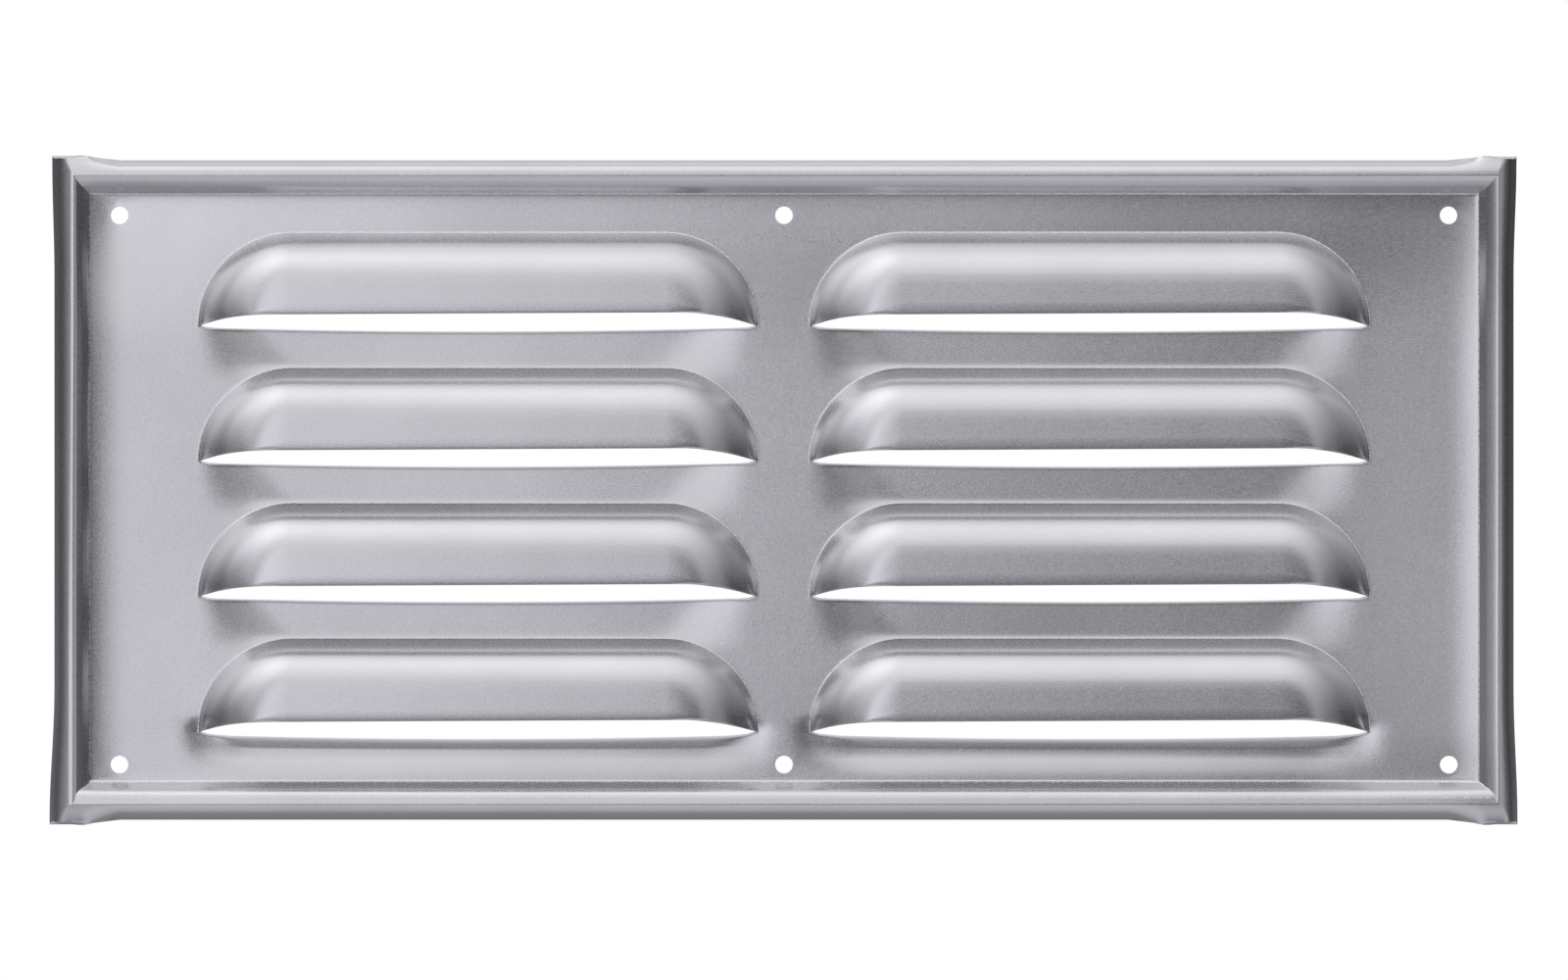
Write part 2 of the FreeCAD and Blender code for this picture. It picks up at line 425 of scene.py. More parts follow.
rim = {
    "fieldHalfWidth": 141.7,
    "fieldTop": 60.5,
    "fieldBottom": -59.7,
    "sideWidth": 7.2,
    "topWidth": 6.8,
    "bottomWidth": 7.6,
    "crestOut": 5.0,
    "width": 7.2,  # the section's own width, stretched to that of each side
    # tilt of each side's section at each distance out from the field
    "leftUpper": [(-0.25, 0), (-0.2, 60), (0.0, 60), (0.06, 42), (1.15, 41), (1.3, 36),
                  (2.26, 34), (2.34, 23), (2.75, 20), (2.85, 16), (2.92, -3), (3.4, -5),
                  (3.46, -20), (3.9, -24), (4.6, -33), (5.2, -44), (5.7, -55), (6.3, -66),
                  (7.2, -74)],
    "leftLower": [(-0.25, 0), (-0.2, 62), (0.0, 62), (0.06, 44), (1.15, 43), (1.3, 36),
                  (2.3, 34), (2.4, 25), (2.95, 22), (3.05, 18), (3.12, -3), (3.85, -5),
                  (3.95, -18), (4.6, -27), (5.2, -38), (5.7, -52), (6.3, -67), (7.2, -75)],
    "right": [(-0.25, 0), (0.05, 48), (1.25, 47), (1.4, 41), (1.8, 38), (2.3, 35), (2.6, 31),
              (2.9, 27), (3.2, 21), (3.6, 12), (3.68, -2), (3.76, -14), (4.4, -22), (4.8, -27),
              (5.4, -36), (5.8, -46), (6.2, -58), (6.6, -70), (7.2, -77)],
    "top": [(-0.25, 0), (0.05, 56), (0.9, 54), (1.3, 48), (1.6, 42), (2.0, 38), (2.5, 36),
            (2.75, 27), (3.3, 25), (3.75, 16), (3.85, -3), (4.4, -4), (4.65, -8), (4.9, -13),
            (5.2, -18), (5.7, -34), (6.2, -60), (6.5, -75), (7.2, -80)],
    "bottom": [(-0.45, 0), (-0.15, 60), (0.7, 62), (1.2, 60), (1.5, 48), (1.8, 38), (2.1, 28),
               (2.35, 18), (2.7, 12), (3.1, 10), (3.95, 10), (4.02, -15), (4.5, -20),
               (4.8, -26), (5.2, -33), (5.6, -40), (6.2, -60), (6.6, -74), (7.2, -80)],
    "leftChange": (-50.0, 45.0),  # downwards, from the left side's upper section to its lower one
    "endCrest": (4.4, 3.9),  # where the top and the bottom begin to fall
    # the crease marks there are painted highlight lines over the tools' own marks
    "markAt": (2.62, 2.95),  # where the tools have marked the top and the bottom
    "markMitre": 0.6,  # the marks stop this far before the mitres
    "creaseReach": 1.5,
    "innerLevels": [-1.0, -0.6],
    "levelStep": 0.3,
    "leastStep": 0.055,
    "longStations": 54,
    "shortStations": 26,
    "endRound": 0.6,
    "endRoundRun": 3.5,
    "hipSlowing": 0.5,
    "hipPower": 4,
    "hipRun": (-5.0, 2.5),
    # the skirt's spread at the corners: left and right, then top and bottom
    "sideFlare": {(-1, 1): 0.45, (1, 1): 0.6, (-1, -1): 1.0, (1, -1): 0.8},
    "endFlare": {(-1, 1): 0.9, (1, 1): 0.75, (-1, -1): 0.95, (1, -1): 0.95},
    "flareFrom": 3.5,
    "sideFlareRun": (-18.0, 7.2),
    "endFlareRun": (-4.0, 1.5),
}


# Height of a section's inner slope and of its skirt, each level with the crest on the other side
def rimHeight(distance, tilts):
    end = tilts[-1][0]
    places, angles = zip(*tilts)
    crest = np.interp(0, -np.array(angles[1:]), places[1:])
    inner = sectionRise(tilts, np.minimum(distance, crest))
    outer = sectionRise(tilts, np.maximum(distance, crest))
    top, foot = sectionRise(tilts, [crest, end])
    inner = sheet["thickness"] + (rim["crestOut"] - sheet["thickness"]) * inner / top
    return inner, rim["crestOut"] * (outer - foot) / (top - foot)


# Distances out from the field's edges, in the section's own width: sideways, then endways
def rimDistances(across, up):
    side = (np.abs(across) - rim["fieldHalfWidth"]) * rim["width"] / rim["sideWidth"]
    above = (up - rim["fieldTop"]) * rim["width"] / rim["topWidth"]
    below = (rim["fieldBottom"] - up) * rim["width"] / rim["bottomWidth"]
    return side, np.maximum(above, below)


# The left side's section changes a little on the way down
def sideHeight(side, across, up):
    upper, lower, right = [np.array(rimHeight(side, rim[key]))
                           for key in ("leftUpper", "leftLower", "right")]
    left = upper + (lower - upper) * smoothStep(-up, *rim["leftChange"])
    return np.where(across < 0, left, right)


# How far the skirt spreads outwards at each corner
def cornerFlare(across, up, flares, share):
    total = np.zeros(len(across))
    for (sideways, endways), flare in flares.items():
        near = (across * sideways > 0) & (up * endways > 0)
        total += np.where(near, flare * share, 0)
    return total


# At each corner the end's skirt falls more slowly, and meets the side's at a rounded hip
def rimSurface(across, up):
    width, crestOut = rim["width"], rim["crestOut"]
    side, end = rimDistances(across, up)
    sideIn, sideOut = sideHeight(side, across, up)
    crest = np.where(up > 0, *rim["endCrest"])
    past = np.maximum(end - crest, 0)
    near = smoothStep(side, *rim["hipRun"])
    slowed = end - rim["hipSlowing"] * near * past**2 / (width - crest)
    ends = [np.array(rimHeight(slowed, rim[key])) for key in ("top", "bottom")]
    endIn, endOut = np.where(up > 0, *ends)
    inner = np.maximum(sideIn, endIn)
    drops = [np.maximum(crestOut - out, 0) ** rim["hipPower"] for out in (sideOut, endOut)]
    rounding = np.clip((end - width + rim["endRound"]) / rim["endRound"], 0, 1)
    rounding = rounding**2 * smoothStep(side, 0, rim["endRoundRun"])
    out = np.maximum(inner - sum(drops) ** (1 / rim["hipPower"]), 0) * np.sqrt(1 - rounding)
    spread = [smoothStep(side, rim["flareFrom"], width) * smoothStep(end, *rim["sideFlareRun"]),
              smoothStep(end, rim["flareFrom"], width) * smoothStep(side, *rim["endFlareRun"])]
    flaredAcross = across + np.sign(across) * cornerFlare(across, up, rim["sideFlare"], spread[0])
    flaredUp = up + np.sign(up) * cornerFlare(across, up, rim["endFlare"], spread[1])
    share = (crestOut - inner) / (crestOut - sheet["thickness"])
    return np.stack([flaredAcross, flaredUp, out], axis=1), side, end, share


def rimLevels():
    keys = ("leftUpper", "leftLower", "right", "top", "bottom")
    knots = np.unique([place for key in keys for place, tilt in rim[key]])
    levels = [knots[0]]
    for knot in knots[1:]:
        steps = math.ceil((knot - levels[-1]) / rim["levelStep"])
        if knot - levels[-1] > rim["leastStep"]:
            levels += list(np.linspace(levels[-1], knot, steps + 1)[1:])
    return np.concatenate([rim["innerLevels"], levels])


# Lines of the rim's grid across and up, with the field's own stations between them
def rimLines():
    levels = rimLevels()
    sides = rim["fieldHalfWidth"] + levels * rim["sideWidth"] / rim["width"]
    above = rim["fieldTop"] + levels * rim["topWidth"] / rim["width"]
    below = rim["fieldBottom"] - levels * rim["bottomWidth"] / rim["width"]
    long = np.linspace(-sides[0], sides[0], rim["longStations"] + 1)[1:-1]
    short = np.linspace(below[0], above[0], rim["shortStations"] + 1)[1:-1]
    across = np.concatenate([-sides[::-1], long, sides])
    up = np.concatenate([below[::-1], short, above])
    return across, up, len(levels)


# Triangles of the rim's grid, cut along the mitres at the corners
def rimFaces(rows, columns, deep):
    index = np.arange(rows * columns).reshape(rows, columns)
    faces = []
    for i in range(rows - 1):
        for j in range(columns - 1):
            inside = deep - 1 <= i < rows - deep
            if inside and deep - 1 <= j < columns - deep:
                continue
            a, b, c, d = index[i, j], index[i + 1, j], index[i + 1, j + 1], index[i, j + 1]
            if (i < deep) != (j < deep):
                faces += [[a, b, d], [b, c, d]]
            else:
                faces += [[a, b, c], [a, c, d]]
    return np.array(faces)


def makeRim():
    acrossLines, upLines, deep = rimLines()
    faces = rimFaces(len(acrossLines), len(upLines), deep)
    used, numbered = np.unique(faces, return_inverse=True)
    grids = np.meshgrid(acrossLines, upLines, indexing="ij")
    across, up = [grid.ravel()[used] for grid in grids]
    points, side, end, share = rimSurface(across, up)
    outermost = np.maximum(side, end)
    # Crease marks: where the material paints highlight lines along the bends, over rougher tool
    # marks
    marked = end - np.where(up > 0, *rim["markAt"])
    marked = np.where(side < end - rim["markMitre"], marked, sheet["noCrease"])
    marks = {
        "creaseDistance": np.where(outermost < rim["creaseReach"], outermost, marked),
        "reliefShare": share,
    }
    return sheetMesh("rim", points, numbered.reshape(faces.shape).tolist(), marks)


# Field: the flat sheet between the rim, the louvre collars and the screw holes

field = {
    "holeDiameter": 3.6,
    "holeAcross": [-135.5, 0.0, 135.5],
    "holeUp": [-56.0, 56.0],
    "holeRings": [0.0, 0.1, 0.25, 0.5, 0.8],  # rings of vertices beyond its edge
    "holeStations": 40,
    "spacing": 1.8,
    "clear": 0.9,  # no vertex of the spacing lies nearer to an edge
    "mergeWithin": 1e-5,
}


def louvrePlaces():
    for row in range(louvre["rows"]):
        for column in range(louvre["columns"]):
            step = column - (louvre["columns"] - 1) / 2
            up = louvre["topRow"] - row * louvre["rowPitch"]
            yield np.array([step * louvre["columnPitch"], up])


def holePlaces():
    return [np.array([x, z]) for x in field["holeAcross"] for z in field["holeUp"]]


def insideLoop(points, loop):
    inside = np.zeros(len(points), bool)
    for (x0, z0), (x1, z1) in zip(loop, np.roll(loop, -1, axis=0)):
        crosses = (points[:, 1] < z0) != (points[:, 1] < z1)
        level = np.where(crosses, (points[:, 1] - z0) / (z1 - z0 if z1 != z0 else 1), 0)
        inside ^= crosses & (points[:, 0] < x0 + level * (x1 - x0))
    return inside


def distanceToLoop(points, loop):
    nearest = np.full(len(points), np.inf)
    for start, end in zip(loop, np.roll(loop, -1, axis=0)):
        run = end - start
        share = np.clip(((points - start) @ run) / max(run @ run, 1e-9), 0, 1)
        nearest = np.minimum(nearest, np.hypot(*(points - start - share[:, None] * run).T))
    return nearest


# The rim's innermost line, where the field meets it
def fieldBorder():
    acrossLines, upLines, deep = rimLines()
    long = acrossLines[deep - 1:len(acrossLines) - deep + 1]
    short = upLines[deep - 1:len(upLines) - deep + 1]
    border = [(x, short[0]) for x in long[:-1]] + [(long[-1], z) for z in short[:-1]]
    border += [(x, short[-1]) for x in long[:0:-1]] + [(long[0], z) for z in short[:0:-1]]
    return np.array(border)


# Triangles over points set out in rows, between the border and the openings
def fieldTriangles(border, openings):
    loops = [border] + openings
    lines = [np.arange(first + field["spacing"], last, field["spacing"])
             for first, last in zip(border.min(axis=0), border.max(axis=0))]
    inner = np.stack([grid.ravel() for grid in np.meshgrid(*lines)], axis=1)
    for loop in openings:
        inner = inner[~insideLoop(inner, loop)]
    for loop in loops:
        inner = inner[distanceToLoop(inner, loop) > field["clear"]]
    points, edges = [], []
    for loop in loops:
        first = len(points)
        points += [Vector(p) for p in loop]
        edges += [(first + k, first + (k + 1) % len(loop)) for k in range(len(loop))]
    points += [Vector(p) for p in inner]
    insideOnly = 1  # keeps the triangles within the border
    made = delaunay_2d_cdt(points, edges, [], insideOnly, field["mergeWithin"])
    flat = np.array([tuple(p) for p in made[0]])
    faces = np.array(made[2])
    middles = flat[faces].mean(axis=1)
    keep = np.ones(len(faces), bool)
    for loop in openings:
        keep &= ~insideLoop(middles, loop)
    return flat, faces[keep].tolist()


def makeField():
    turns = np.linspace(0, 2 * math.pi, field["holeStations"], endpoint=False)
    circle = np.stack([np.cos(turns), np.sin(turns)], axis=1)
    radii = field["holeDiameter"] / 2 + np.array(field["holeRings"])
    edge = collarEdge()
    openings = [edge + place for place in louvrePlaces()]
    openings += [place + radii[-1] * circle for place in holePlaces()]
    flat, faces = fieldTriangles(fieldBorder(), openings)
    for place in holePlaces():
        rings = [place + radius * circle for radius in radii]
        faces += gridFaces(len(rings), field["holeStations"] + 1, len(flat))
        flat = np.concatenate([flat] + [np.vstack([ring, ring[:1]]) for ring in rings])
    points = np.column_stack([flat, np.full(len(flat), sheet["thickness"])])
    marks = {
        "creaseDistance": np.full(len(flat), -sheet["noCrease"]),
        "reliefShare": np.ones(len(flat)),
    }
    return sheetMesh("field", points, faces, marks)


# Relief: how the pressing has drawn the flat sheet out of true

relief = {
    "baseLift": 0.5,
    "sideLift": ((0.32, 7.0), (0.22, 6.0)),  # at the left and right, with how far it runs
    "topLift": (0.15, 4.5),
    "rootLift": (0.08, 1.6),
    # how far the left and right margins stand out past the louvred middle, high up and low down
    "margins": ((0.95, 0.45), (1.05, 1.55)),
    "marginStart": (70.0, 108.0),
    "marginPower": (1.7, 1.3),
    "marginRun": (-35.0, 45.0),
    "topBand": (30.0, 57.0),
    "topLevel": 0.8,
    "cornerDrop": (0.9, 0.45),
    "bottomBand": (48.0, 60.0),
    "bottomLevel": 0.15,
    "bottomEase": 0.3,
    # how deep the strip below each row sinks, inwards from its left and right tips
    "tipSink": [(0.95, 0.6), (0.95, 0.6), (0.95, 0.6), (1.1, 0.8)],
    "tipRun": [((1.0, 10.5), (2.5, 12.0))] * 3 + [((-4.0, 6.0), (-3.5, 5.5))],
    "tipReach": [(7.5, 12.0)] * 3 + [(3.0, 8.5)],
    "tipAbove": (-3.0, -1.0),
    "tipWiden": 1.2,
    "tipWidenReach": 9.0,
    "lowerLift": (0.85, 7.5),  # along the slits of the lowest row
    "lowerLiftAbove": 1.0,
    "lowerLiftRun": 8.0,  # in from the tips
    "waveDepth": 0.03,
    # each wave's length, turn and start
    "waves": ((61, 0.4, 0.3), (37, 1.9, 1.7), (83, 2.6, 4.0), (29, 1.2, 2.9)),
}


def edgeLift(gap, lift, run):
    return lift * np.clip(1 - gap / run, 0, 1) ** 2


# The field lifts towards the rim, most of all at its upper left
def edgeRise(across, up):
    side = rim["fieldHalfWidth"] - np.abs(across)
    above = rim["fieldTop"] - up
    end = np.minimum(above, up - rim["fieldBottom"])
    left, right = [edgeLift(side, *lift) for lift in relief["sideLift"]]
    left = left * (1 + smoothStep(up, *relief["topBand"]))
    rise = np.maximum(np.where(across < 0, left, right), edgeLift(above, *relief["topLift"]))
    return rise + edgeLift(np.minimum(side, end), *relief["rootLift"])


# Wide bulges beside the louvres and above them
def marginRise(across, up):
    lower = smoothStep(-up, *relief["marginRun"])
    high = smoothStep(up, *relief["topBand"])
    low = smoothStep(-up, *relief["bottomBand"])
    depths = [first + (last - first) * lower for first, last in relief["margins"]]
    bowls = []
    for begin, power in zip(relief["marginStart"], relief["marginPower"]):
        share = (np.abs(across) - begin) / (rim["fieldHalfWidth"] - begin)
        bowls.append(np.clip(share, 0, 1) ** power)
    margin = np.where(across < 0, *bowls)
    depth = np.where(across < 0, *depths) * margin * (1 - relief["bottomEase"] * low)
    top = relief["topLevel"] - np.where(across < 0, *relief["cornerDrop"]) * margin
    return top * high + (depth + relief["bottomLevel"] * low) * (1 - high)


# The strip below each louvre sinks, on slopes that begin at its tips
def tipDip(across, up):
    half = louvre["length"] / 2
    dip = np.zeros(len(up))
    for number, (middle, mouth) in enumerate(louvrePlaces()):
        row = number // louvre["columns"]
        below = mouth - up
        wide = relief["tipWiden"] * np.clip(below, 0, relief["tipWidenReach"])
        (first, last), (nearer, farther) = relief["tipRun"][row]
        left = smoothStep(half + across - middle, first, last + wide)
        right = smoothStep(half - across + middle, nearer, farther + wide)
        share = smoothStep(across - middle, -half, half)
        atLeft, atRight = relief["tipSink"][row]
        reach = smoothStep(below, *relief["tipAbove"])
        reach = reach * (1 - smoothStep(below, *relief["tipReach"][row]))
        dip += (atLeft * (1 - share) + atRight * share) * left * right * reach
    return dip


# The lower lips of the lowest row stand out
def lowerRise(across, up):
    half = louvre["length"] / 2
    rise = np.zeros(len(up))
    lift, run = relief["lowerLift"]
    for middle, mouth in list(louvrePlaces())[-louvre["columns"]:]:
        below = mouth - up
        drop = np.clip(1 - below / run, 0, 1) * (below > -relief["lowerLiftAbove"])
        within = half - np.abs(across - middle)
        rise += lift * drop**2 * smoothStep(within, 0, relief["lowerLiftRun"])
    return rise


def sheetRelief(across, up):
    across = np.clip(across, -rim["fieldHalfWidth"], rim["fieldHalfWidth"])
    up = np.clip(up, rim["fieldBottom"], rim["fieldTop"])
    rise = relief["baseLift"] + edgeRise(across, up) + marginRise(across, up)
    rise += lowerRise(across, up) - tipDip(across, up)
    longest = max(length for length, turn, start in relief["waves"])
    for length, turn, start in relief["waves"]:
        phase = (across * math.cos(turn) + up * math.sin(turn)) * 2 * math.pi / length
        rise += relief["waveDepth"] * (1 + np.sin(phase + start)) * length / longest
    return rise


def lowerLipDrop(across, up):
    total = np.zeros(len(up))
    for number, (middle, mouth) in enumerate(louvrePlaces()):
        drop = louvre["lowerDrop"][number // louvre["columns"]]
        within = louvre["length"] / 2 - np.abs(across - middle)
        drop = drop * smoothStep(within, 0, louvre["lowerDropRun"]) * (up < mouth)
        total += drop * (1 - smoothStep(mouth - up, *louvre["lowerDropFade"]))
    return total


def joinMeshes(meshes):
    holders = [addObject(mesh.name, mesh) for mesh in meshes]
    with bpy.context.temp_override(active_object=holders[0], selected_editable_objects=holders,
                                   selected_objects=holders, object=holders[0]):
        bpy.ops.object.join()
    return holders[0]


def makeSheet(material):
    joined = joinMeshes([makeLouvres(material), makeRim(), makeField()])
    mesh = joined.data
    mergeDoubles(mesh, sheet["mergeWithin"])
    share = np.empty(len(mesh.vertices))
    mesh.attributes["reliefShare"].data.foreach_get("value", share)
    places = meshPlaces(mesh)
    across, up = places[:, 0] / mm, places[:, 2] / mm
    places[:, 1] -= sheetRelief(across, up) * share * mm
    places[:, 2] -= lowerLipDrop(across, up) * mm
    mesh.vertices.foreach_set("co", places.ravel())
    mesh.update()
    solid = joined.modifiers.new("thickness", "SOLIDIFY")
    solid.thickness = sheet["thickness"] * mm
    solid.offset = -1
    mesh = plainMesh(joined, "louvredSheet")
    bpy.data.objects.remove(joined)
    places = meshPlaces(mesh)
    places[:, 1] = np.minimum(places[:, 1], 0)  # the wall holds the back
    mesh.vertices.foreach_set("co", places.ravel())
    mesh.materials.clear()
    mesh.materials.append(material)
    mesh.shade_smooth()
    mesh.set_sharp_from_angle(angle=math.radians(sheet["sharpAngle"]))
    mesh.update()
    return addObject("louvredSheet", mesh)


# Finishes, with their lengths in metres, apart from the creases' in millimetres

aluminium = {
    "color": (0.70, 0.697, 0.722),
    # painted highlight: the paler base colour of the crease lines
    "creaseHighlightColor": (0.93, 0.93, 0.94, 1),
    "grainSpan": (0.4, 1.1),  # the grain's height runs between these
    "grainTone": (0.94, 1.05),
    "grainRoughness": (0.21, 0.30),
    "patchSpan": (0.3, 0.7),
    "patchTone": (0.97, 1.03),
    "patchScale": 45.0,
    "streakLength": 0.0011,
    "streakWidth": 0.00023,
    "crossShare": 0.5,
    "grainDepth": 0.0000075,
    "creaseWidth": 0.125,
    "creaseWander": 3.0,
    "creaseEdge": (0.5, 1.0),
    "creaseBreaks": (0.44, 0.54),
    "creaseHeight": 2.0,
    "creaseRoughness": 0.3,
    "dashLength": 0.0005,
}


# Rolled grain: fine streaks along the sheet with a faint weave across them
def rolledGrain():
    tree = bpy.data.node_groups.new("rolledGrain", "ShaderNodeTree")
    given, made = addSockets(tree, [
        ("Vector", "Vector"), ("Streak Length", "Float"), ("Streak Width", "Float"),
        ("Cross Share", "Float"),
    ], [("Height", "Float"), ("Patches", "Float")])
    shorter = addMath(tree, "DIVIDE", 1.0, given["Streak Width"])
    longer = addMath(tree, "DIVIDE", 1.0, given["Streak Length"])
    along = addNode(tree, "ShaderNodeCombineXYZ", {"X": longer, "Y": shorter, "Z": shorter})
    streaks = addNode(tree, "ShaderNodeTexNoise", {
        "Vector": addVectorMath(tree, "MULTIPLY", given["Vector"], along.outputs[0]),
        "Scale": 1.0, "Detail": 3.0, "Roughness": 0.6,
    }).outputs[0]
    against = addNode(tree, "ShaderNodeCombineXYZ", {"X": shorter, "Y": shorter, "Z": longer})
    weave = addNode(tree, "ShaderNodeTexNoise", {
        "Vector": addVectorMath(tree, "MULTIPLY", given["Vector"], against.outputs[0]),
        "Scale": 1.0, "Detail": 2.0, "Roughness": 0.5,
    }).outputs[0]
    weave = addMath(tree, "MULTIPLY", weave, given["Cross Share"])
    tree.links.new(addMath(tree, "ADD", streaks, weave), made["Height"])
    patches = addNode(tree, "ShaderNodeTexNoise", {
        "Vector": given["Vector"], "Scale": aluminium["patchScale"], "Detail": 3.0,
        "Roughness": 0.6,
    }).outputs[0]
    tree.links.new(patches, made["Patches"])
    return tree


# Crease marks along a bend: broken lines of painted highlight, over the rougher, raised marks that
# the pressing tools leave
def creaseMarksAndHighlights():
    tree = bpy.data.node_groups.new("creaseMarksAndHighlights", "ShaderNodeTree")
    given, made = addSockets(tree, [
        ("Vector", "Vector"), ("Distance", "Float"), ("Width", "Float"), ("Dash Length", "Float"),
    ], [("Mask", "Float")])
    often = addMath(tree, "DIVIDE", 1.0, given["Dash Length"])
    dashes = addNode(tree, "ShaderNodeTexNoise", {
        "Vector": given["Vector"], "Scale": often, "Detail": 2.0, "Roughness": 0.7,
    }).outputs[0]
    wander = addMath(tree, "MULTIPLY", addMath(tree, "SUBTRACT", dashes, 0.5), given["Width"])
    wander = addMath(tree, "MULTIPLY", wander, aluminium["creaseWander"])
    place = addMath(tree, "ADD", given["Distance"], wander)
    gap = addMath(tree, "ABSOLUTE", addMath(tree, "ADD", place, given["Width"]))
    line = addMath(tree, "DIVIDE", gap, given["Width"])
    line = addRange(tree, line, *aluminium["creaseEdge"], 1.0, 0.0)
    broken = addRange(tree, dashes, *aluminium["creaseBreaks"])
    tree.links.new(addMath(tree, "MULTIPLY", line, broken), made["Mask"])
    return tree


def makeAluminium():
    material, tree = newMaterial("millAluminium")
    shader = tree.nodes["Principled BSDF"]
    place = addNode(tree, "ShaderNodeTexCoord").outputs["Object"]
    distance = addNode(tree, "ShaderNodeAttribute", attribute_name="creaseDistance").outputs["Fac"]
    grain = addNode(tree, "ShaderNodeGroup", {
        "Vector": place, "Streak Length": aluminium["streakLength"],
        "Streak Width": aluminium["streakWidth"], "Cross Share": aluminium["crossShare"],
    }, node_tree=rolledGrain()).outputs
    # the crease marks' mask: painted highlight in the colour, with real roughness and bumps
    creaseMarkAndHighlight = addNode(tree, "ShaderNodeGroup", {
        "Vector": place, "Distance": distance, "Width": aluminium["creaseWidth"],
        "Dash Length": aluminium["dashLength"],
    }, node_tree=creaseMarksAndHighlights()).outputs["Mask"]

    height, span = grain["Height"], aluminium["grainSpan"]
    tone = addRange(tree, height, *span, *aluminium["grainTone"], "LINEAR")
    patches = addRange(tree, grain["Patches"], *aluminium["patchSpan"], *aluminium["patchTone"],
                       "LINEAR")
    tone = addMath(tree, "MULTIPLY", tone, patches)
    toned = addNode(tree, "ShaderNodeVectorMath", {0: aluminium["color"], "Scale": tone},
                    operation="SCALE").outputs[0]
    # The crease marks paint a highlight into the base colour
    color = addNode(tree, "ShaderNodeMix", {
        "Factor": creaseMarkAndHighlight, "A": toned, "B": aluminium["creaseHighlightColor"],
    }, data_type="RGBA").outputs["Result"]
    tree.links.new(color, shader.inputs["Base Color"])

    rough = addRange(tree, height, *span, *aluminium["grainRoughness"], "LINEAR")
    rougher = addMath(tree, "MULTIPLY", creaseMarkAndHighlight, aluminium["creaseRoughness"])
    tree.links.new(addMath(tree, "ADD", rough, rougher), shader.inputs["Roughness"])
    raised = addMath(tree, "MULTIPLY", creaseMarkAndHighlight, aluminium["creaseHeight"])
    bump = addNode(tree, "ShaderNodeBump", {
        "Height": addMath(tree, "ADD", height, raised), "Distance": aluminium["grainDepth"],
        "Strength": 1.0,
    })
    tree.links.new(bump.outputs[0], shader.inputs["Normal"])
    shader.inputs["Metallic"].default_value = 1.0
    return material


# Studio: a pale floor, a soft top light and a tent of light and dark cards round the metal.
# Its sizes are in metres.

studio = {
    "cameraDistance": 1.8,
    "frameWidth": 0.32,
    "sensorWidth": 36,
    "floorHeight": -0.30,
    "floorRadius": 1.5,
    "floorStations": 96,
    "floorFade": (0.4, 0.98),
    "floorColor": (0.82, 0.82, 0.83, 1),
    "floorRoughness": 0.9,
    "worldStrength": 0.75,
    "lampPlace": (-0.5, -0.9, 1.3),
    "lampSize": 1.4,
    "lampPower": 9.0,
    "tentRadius": 3.0,
    # how bright the tent is in degrees away from the camera, to each side of the panel
    "right": [(0, 0.20), (5, 0.17), (9, 0.06), (22, 0.07), (32, 0.34), (46, 0.40), (55, 0.14),
              (63, 0.05), (90, 0.03), (110, 0.055), (180, 0.07)],
    "left": [(0, 0.97), (8, 1.04), (13, 1.14), (20, 0.84), (30, 0.42), (55, 0.13), (80, 0.07),
             (110, 0.06), (180, 0.13)],
    "up": [(0, 0.68), (8, 0.78), (16, 0.88), (28, 1.0), (50, 1.10), (62, 1.07), (72, 0.9),
           (84, 0.74), (100, 0.80), (130, 0.9), (180, 0.4)],
    "down": [(0, 0.40), (6, 0.16), (10, 0.08), (18, 0.08), (24, 0.34), (32, 0.68), (60, 0.54),
             (72, 0.43), (85, 0.29), (110, 0.29), (140, 0.25), (180, 0.15)],
    "stepShift": 0.0175,  # the left gives way to the right that far left of the middle
    "uprightFrom": (0.05, 0.21),
    "uprightPower": 0.6,
    "lowerGain": ((1.0, 1.12), (0.7, 1.3)),  # to the left and right, from above to below
    "lowerGainRun": (-0.09, 0.05),
    "farGain": (0.9, -0.3),  # added well round the sides, from below to above
    "farGainRun": (-0.1, 0.1),
    "farGainFrom": (0.2, 0.35),
    "keyPlace": (-0.62, -0.42, 0.66),
    "keyStrength": 0.5,
    "keySpread": 40,
    "backGlow": 0.42,  # a soft card behind the panel, for the views from behind
    "backFrom": (0.3, 0.65),
    "backMiddle": (0.94, 0.985),
    "aslantUp": (0.1, 0.22),
    "aslantAcross": (0.2, 0.45),
    "tint": (0.985, 0.985, 1.045, 1),
    "upperTint": (1.0, 0.997, 1.0, 1),
}


def makeCamera():
    camera = addObject("camera", bpy.data.cameras.new("camera"))
    camera.location = (0, -studio["cameraDistance"], 0)
    camera.rotation_euler = (math.pi / 2, 0, 0)
    camera.data.sensor_width = studio["sensorWidth"]
    camera.data.lens = studio["sensorWidth"] * studio["cameraDistance"] / studio["frameWidth"]
    bpy.context.scene.camera = camera


def makeWorld():
    world = bpy.data.worlds.new("studio")
    world.use_nodes = True
    bpy.context.scene.world = world
    tree = world.node_tree
    background = tree.nodes["Background"]
    background.inputs["Color"].default_value = (1, 1, 1, 1)
    rays = addNode(tree, "ShaderNodeLightPath").outputs
    seen = addMath(tree, "MAXIMUM", rays["Is Camera Ray"], rays["Is Glossy Ray"])
    seen = addMath(tree, "MAXIMUM", seen, rays["Is Transmission Ray"])
    strength = addRange(tree, seen, 0.0, 1.0, studio["worldStrength"], 1.0, "LINEAR")
    tree.links.new(strength, background.inputs["Strength"])


def makeLamp():
    lamp = addObject("softbox", bpy.data.lights.new("softbox", "AREA"))
    lamp.data.size = studio["lampSize"]
    lamp.data.energy = studio["lampPower"]
    lamp.location = studio["lampPlace"]
    lamp.rotation_euler = Vector(studio["lampPlace"]).to_track_quat("Z", "Y").to_euler()
    lamp.visible_glossy = False


